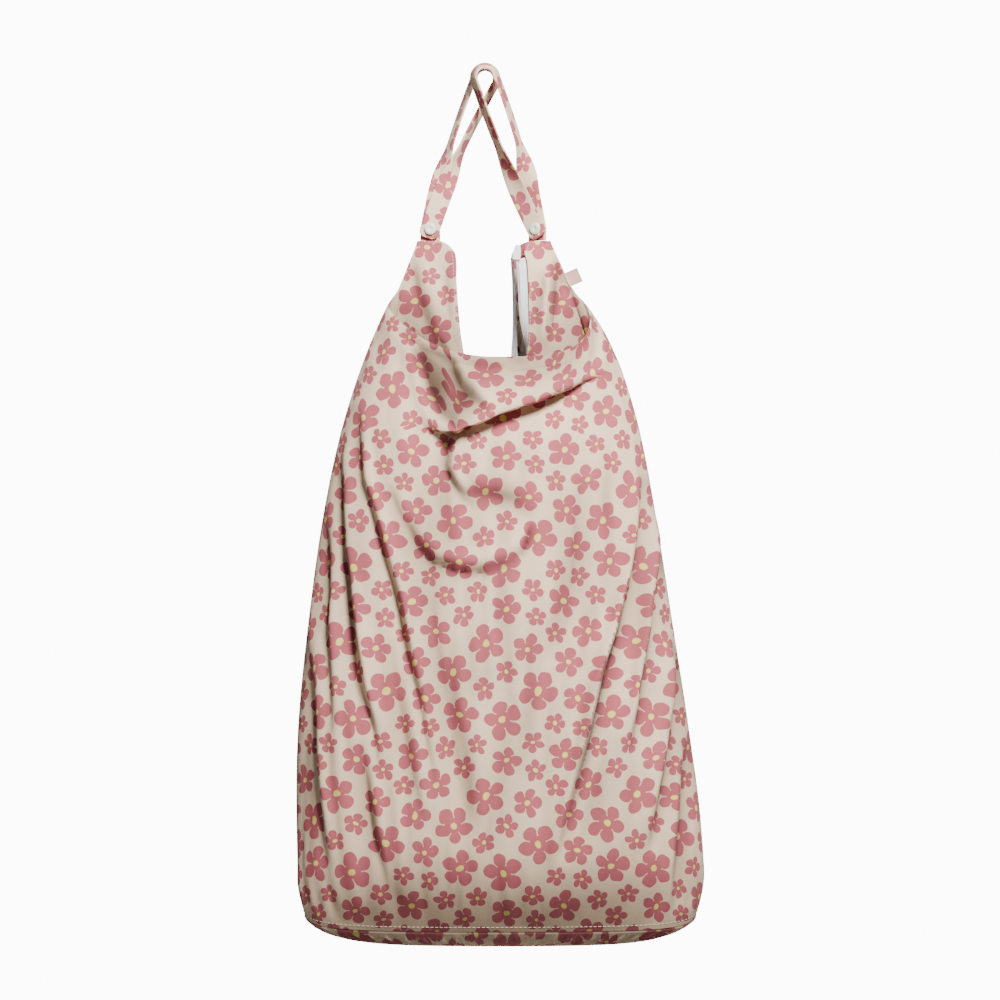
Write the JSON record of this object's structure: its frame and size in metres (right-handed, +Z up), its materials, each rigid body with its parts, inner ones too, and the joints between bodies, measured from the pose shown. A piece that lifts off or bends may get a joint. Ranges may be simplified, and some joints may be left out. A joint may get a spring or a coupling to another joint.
{
  "type": "hanging cloth wet bag",
  "caption": "Hanging cloth bag with a boxed base, an open zip mouth under a draped front neckline, and straps that loop over a peg and snap closed.",
  "frame": {"origin": "centre of the peg that both straps hang on", "axes": "+Z up, along the bag's height; the front with the draped neckline faces -Y; +X to the right in the front view"},
  "size_m": [0.4072, 0.1504, 0.8833],
  "materials": {
    "print_cloth": "smooth knit with a flower print",
    "snap_plastic": "semi-gloss moulded",
    "zip_tape": "woven tape",
    "zip_coil": "moulded coil",
    "label_cloth": "woven, bare"
  },
  "bodies": {
    "root": {"front_panel": "print_cloth", "back_panel": "print_cloth", "base_panel": "print_cloth", "strap_left": "print_cloth", "strap_right": "print_cloth", "snap_left": "snap_plastic", "snap_right": "snap_plastic", "zip_tape_front": "zip_tape", "zip_tape_back": "zip_tape", "zip_coil_front": "zip_coil", "zip_coil_back": "zip_coil", "zip_slider": "zip_coil", "side_label": "label_cloth"}
  },
  "joints": []
}
